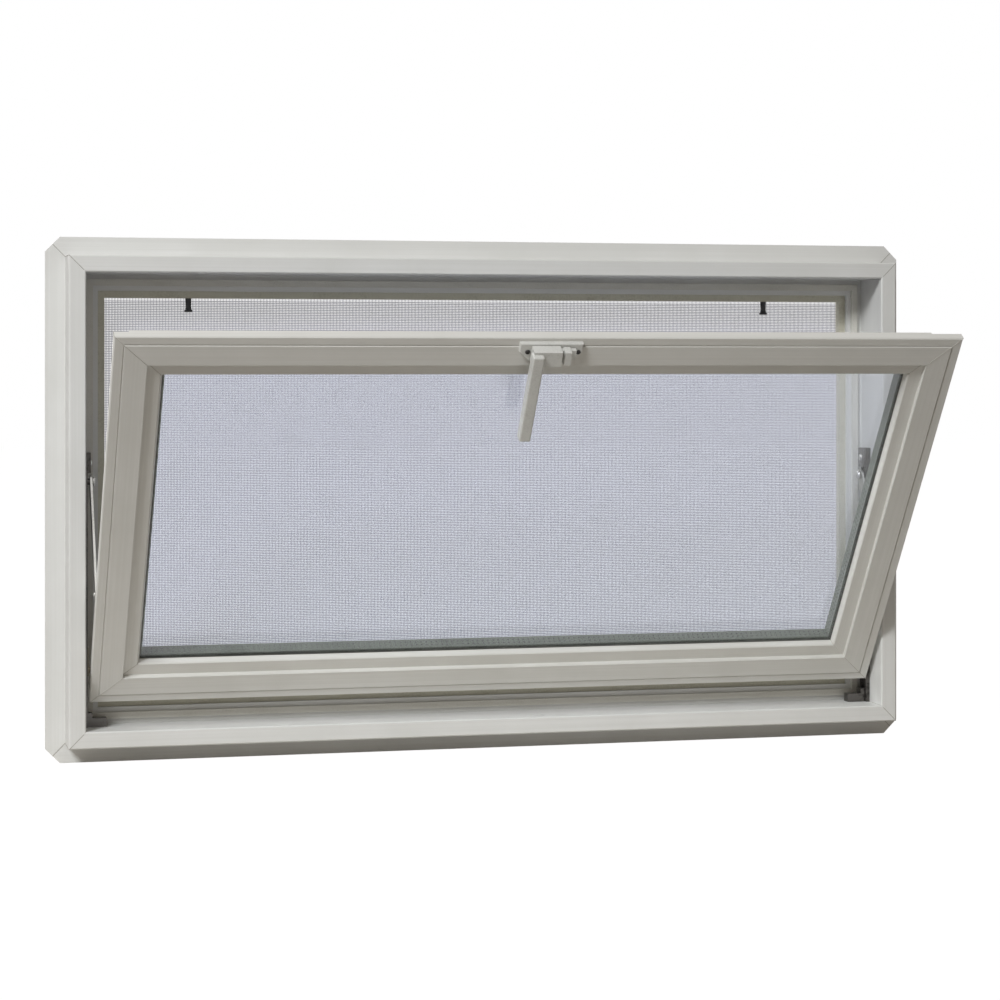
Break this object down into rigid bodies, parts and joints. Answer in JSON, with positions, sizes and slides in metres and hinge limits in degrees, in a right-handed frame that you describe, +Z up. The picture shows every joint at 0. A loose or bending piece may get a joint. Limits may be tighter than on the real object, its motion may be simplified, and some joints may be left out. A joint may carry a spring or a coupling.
{
  "type": "hopper window",
  "caption": "White vinyl basement hopper window: wall frame with fixing flange and insect screen, bottom-pivoted double-glazed sash tilting into the room on side stays, with a lock lever.",
  "frame": {"origin": "middle of the sill flange, on the flange face that lies against the wall", "axes": "+X along the window's width to the right as seen from the room, +Y into the wall, +Z up"},
  "size_m": [0.8432, 0.288, 0.4877],
  "materials": {
    "white_vinyl": "extruded, satin",
    "seal_rubber": "matt",
    "screen_frame": "baked paint, satin",
    "screen_mesh": "coated glass-fibre weave",
    "black_plastic": "moulded, matt",
    "stay_steel": "dark zinc",
    "glass": "clear float glass",
    "spacer_metal": "mill, perforated",
    "lock_paint": "powder coat, satin"
  },
  "bodies": {
    "frame": {"frame_head": "white_vinyl", "frame_sill": "white_vinyl", "frame_left_jamb": "white_vinyl", "frame_right_jamb": "white_vinyl", "frame_seal": "seal_rubber", "screen_top_rail": "screen_frame", "screen_bottom_rail": "screen_frame", "screen_left_rail": "screen_frame", "screen_right_rail": "screen_frame", "screen_mesh": "screen_mesh", "left_screen_plunger": "black_plastic", "right_screen_plunger": "black_plastic", "left_stay_track": "stay_steel", "right_stay_track": "stay_steel"},
    "shoes": {"left_stay_shoe": "stay_steel", "right_stay_shoe": "stay_steel"},
    "sash": {"sash_top_rail": "white_vinyl", "sash_bottom_rail": "white_vinyl", "sash_left_stile": "white_vinyl", "sash_right_stile": "white_vinyl", "glazing_bead_top": "white_vinyl", "glazing_bead_bottom": "white_vinyl", "glazing_bead_left": "white_vinyl", "glazing_bead_right": "white_vinyl", "inner_glass_pane": "glass", "outer_glass_pane": "glass", "glass_spacer": "spacer_metal", "left_sash_bar": "stay_steel", "right_sash_bar": "stay_steel", "lock_base": "lock_paint"},
    "stay_arms": {"left_stay_arm": "stay_steel", "right_stay_arm": "stay_steel"},
    "lock_handle": {"lock_lever": "lock_paint"}
  },
  "joints": [
    {"name": "shoe_slide", "type": "slide", "parent": "frame", "child": "shoes", "axis": [0, 0, 1], "range_m": [-0.02943, 0]},
    {"name": "sash_tilt", "type": "hinge", "parent": "shoes", "child": "sash", "pos_m": [0, -0.0085, 0.07693], "axis": [1, 0, 0], "range_deg": [-35, 0]},
    {"name": "stay_arm_swing", "type": "hinge", "parent": "frame", "child": "stay_arms", "pos_m": [0, -0.0085, 0.2517], "axis": [1, 0, 0], "range_deg": [0, 27.71]},
    {"name": "lock_turn", "type": "hinge", "parent": "sash", "child": "lock_handle", "pos_m": [-0.004, -0.24628, 0.37293], "axis": [0, 0.8192, 0.5736], "range_deg": [-90, 0]}
  ],
  "couplings": [
    {"joint": "shoe_slide", "follows": "sash_tilt", "m_per_rad": 0.047857},
    {"joint": "stay_arm_swing", "follows": "sash_tilt", "ratio": -0.78601}
  ]
}
